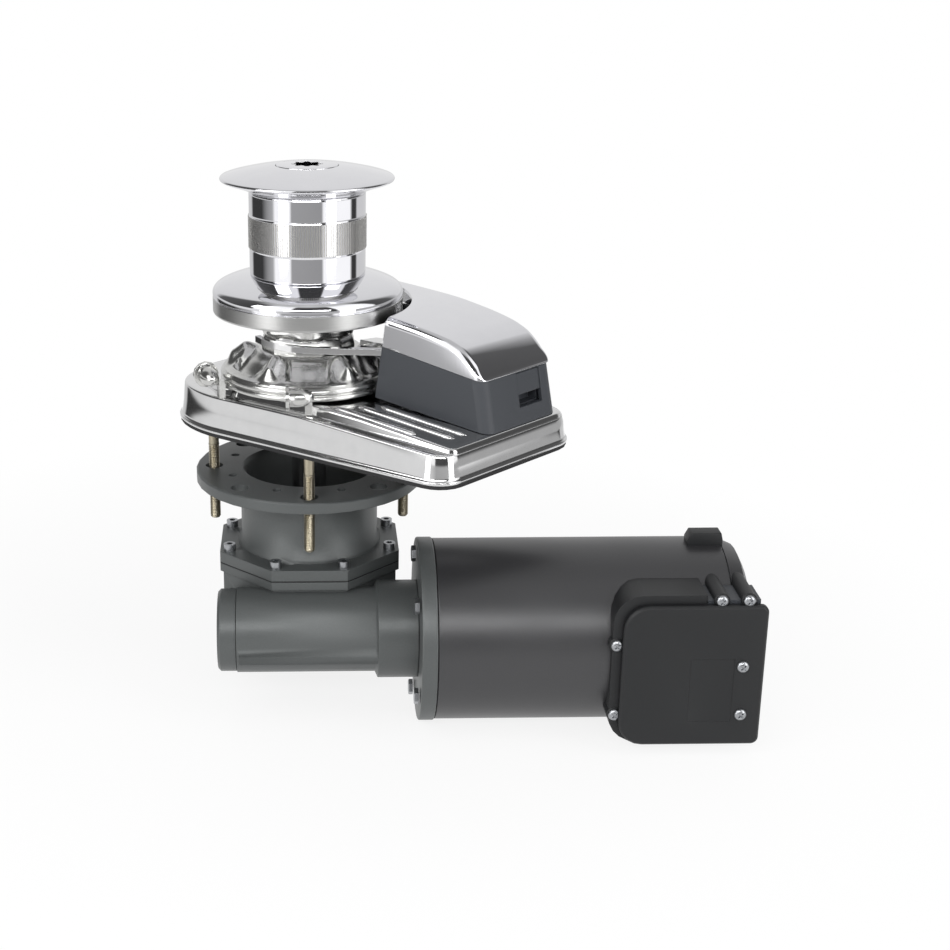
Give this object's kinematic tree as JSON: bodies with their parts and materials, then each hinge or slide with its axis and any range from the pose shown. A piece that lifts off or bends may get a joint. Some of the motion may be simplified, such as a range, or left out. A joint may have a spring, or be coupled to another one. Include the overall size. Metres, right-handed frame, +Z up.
{
  "type": "anchor windlass",
  "caption": "Vertical anchor windlass: rope drum and chain gypsy on a deck plate with a chain housing, over a worm gearbox with an electric motor lying beside it.",
  "frame": {"origin": "On the drum axis in the deck plane, where the gasket's underside rests.", "axes": "+Z is up along the drum axis, +X runs along the deck plate to the chain housing. The motor lies halfway between +X and +Y."},
  "size_m": [0.4089, 0.3211, 0.3883],
  "materials": {
    "rubber": "Black sheet rubber, dull.",
    "polished": "Polished stainless steel.",
    "chrome": "Bright chrome plating.",
    "stainless": "Plain stainless steel bar, threaded.",
    "plastic": "Dark bluish grey moulded plastic, satin.",
    "steel": "Turned or pressed steel, plain.",
    "bronze": "Machined bronze.",
    "casting": "Grey enamel on a fine cast surface.",
    "blackPaint": "Black satin enamel on a fine cast surface.",
    "copper": "Lacquered copper winding.",
    "ferrite": "Dark grey pressed ceramic or carbon."
  },
  "bodies": {
    "fixed_frame": {"deck_gasket": "rubber", "base_plate": "polished", "rim_lug_left": "chrome", "rim_lug_front": "chrome", "base_stud_1": "stainless", "base_stud_2": "stainless", "base_stud_3": "stainless", "base_stud_4": "stainless", "chain_housing": "plastic", "lever_pin": "steel", "lever_spring": "steel", "chain_stripper": "steel", "shaft_seal": "rubber", "base_bush": "bronze", "gearbox_cover": "casting", "cover_gasket": "rubber", "gearbox_housing": "casting", "cover_bolt_1": "steel", "cover_bolt_2": "steel", "cover_bolt_3": "steel", "cover_bolt_4": "steel", "cover_bolt_5": "steel", "cover_bolt_6": "steel", "cover_bolt_7": "steel", "cover_bolt_8": "steel", "upper_bearing": "steel", "lower_bearing": "steel", "worm_bearing_front": "steel", "worm_bearing_rear": "steel", "oil_seal": "rubber", "worm_end_cap": "casting", "motor_flange": "casting", "motor_yoke": "blackPaint", "end_bell": "blackPaint", "magnet_upper": "ferrite", "magnet_lower": "ferrite", "brush_ring": "plastic", "brush_upper": "ferrite", "brush_lower": "ferrite", "terminal_box": "blackPaint", "terminal_cover": "blackPaint", "terminal_block": "plastic", "lead_block": "plastic"},
    "drive_shaft": {"main_shaft": "steel", "drum_key": "steel", "wheel_key": "steel", "worm_wheel": "bronze", "lower_clutch_cone": "bronze", "upper_clutch_cone": "bronze", "clutch_disc": "chrome", "drum": "chrome", "drum_cap": "chrome"},
    "worm_drive": {"worm_shaft": "steel", "armature": "copper", "commutator": "copper"},
    "chain_gypsy": {"gypsy": "polished"},
    "nut": {"clutch_nut": "chrome"},
    "lever": {"pressure_lever": "polished"},
    "lid": {"housing_lid": "chrome"},
    "latch": {"housing_latch": "plastic"}
  },
  "joints": [
    {"name": "worm_spin", "type": "hinge", "parent": "fixed_frame", "child": "worm_drive", "pos_m": [0.04243, -0.04243, -0.134], "axis": [0.7071, 0.7071, 0], "continuous": true},
    {"name": "main_spin", "type": "hinge", "parent": "fixed_frame", "child": "drive_shaft", "pos_m": [0, 0, 0], "axis": [0, 0, 1], "continuous": true},
    {"name": "gypsy_spin", "type": "hinge", "parent": "fixed_frame", "child": "chain_gypsy", "pos_m": [0, 0, 0.05], "axis": [0, 0, 1], "continuous": true},
    {"name": "nut_turn", "type": "hinge", "parent": "drive_shaft", "child": "nut", "pos_m": [0, 0, 0.185], "axis": [0, 0, 1], "range_deg": [0, 180]},
    {"name": "lever_swing", "type": "hinge", "parent": "fixed_frame", "child": "lever", "pos_m": [0.084, 0.018, 0.064], "axis": [0, 0, 1], "range_deg": [0, 10], "stiffness_Nm_per_rad": 1.5, "springref_deg": -5.73},
    {"name": "lid_lift", "type": "slide", "parent": "fixed_frame", "child": "lid", "axis": [0, 0, 1], "range_m": [0, 0.05]},
    {"name": "latch_press", "type": "slide", "parent": "fixed_frame", "child": "latch", "axis": [-1, 0, 0], "range_m": [0, 0.002], "stiffness_N_per_m": 600, "springref_m": -0.001}
  ],
  "couplings": [
    {"joint": "main_spin", "follows": "worm_spin", "ratio": -0.03125}
  ]
}
